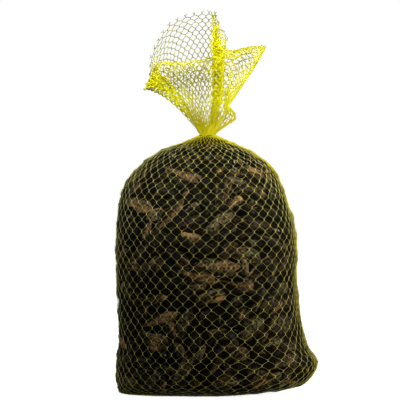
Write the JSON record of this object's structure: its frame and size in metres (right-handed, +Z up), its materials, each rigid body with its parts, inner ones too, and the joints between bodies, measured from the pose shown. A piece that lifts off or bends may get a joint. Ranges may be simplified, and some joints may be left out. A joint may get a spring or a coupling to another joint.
{
  "type": "net bag of mussels",
  "caption": "Upright net bag packed with dark mussels: flat base, bulging sides, shoulders drawn in to a gathered neck with a loose flared tuft of net above.",
  "frame": {"origin": "on the flat base, straight under the neck", "axes": "+Z up through the neck, -Y out of the shown side, +X to the right of the shown side"},
  "size_m": [0.2438, 0.1558, 0.4679],
  "materials": {
    "mussel_shell": "wet satin shell",
    "net": "drawn plastic strand"
  },
  "bodies": {
    "root": {"mussels_in_net": "mussel_shell", "net_top": "net"}
  },
  "joints": []
}
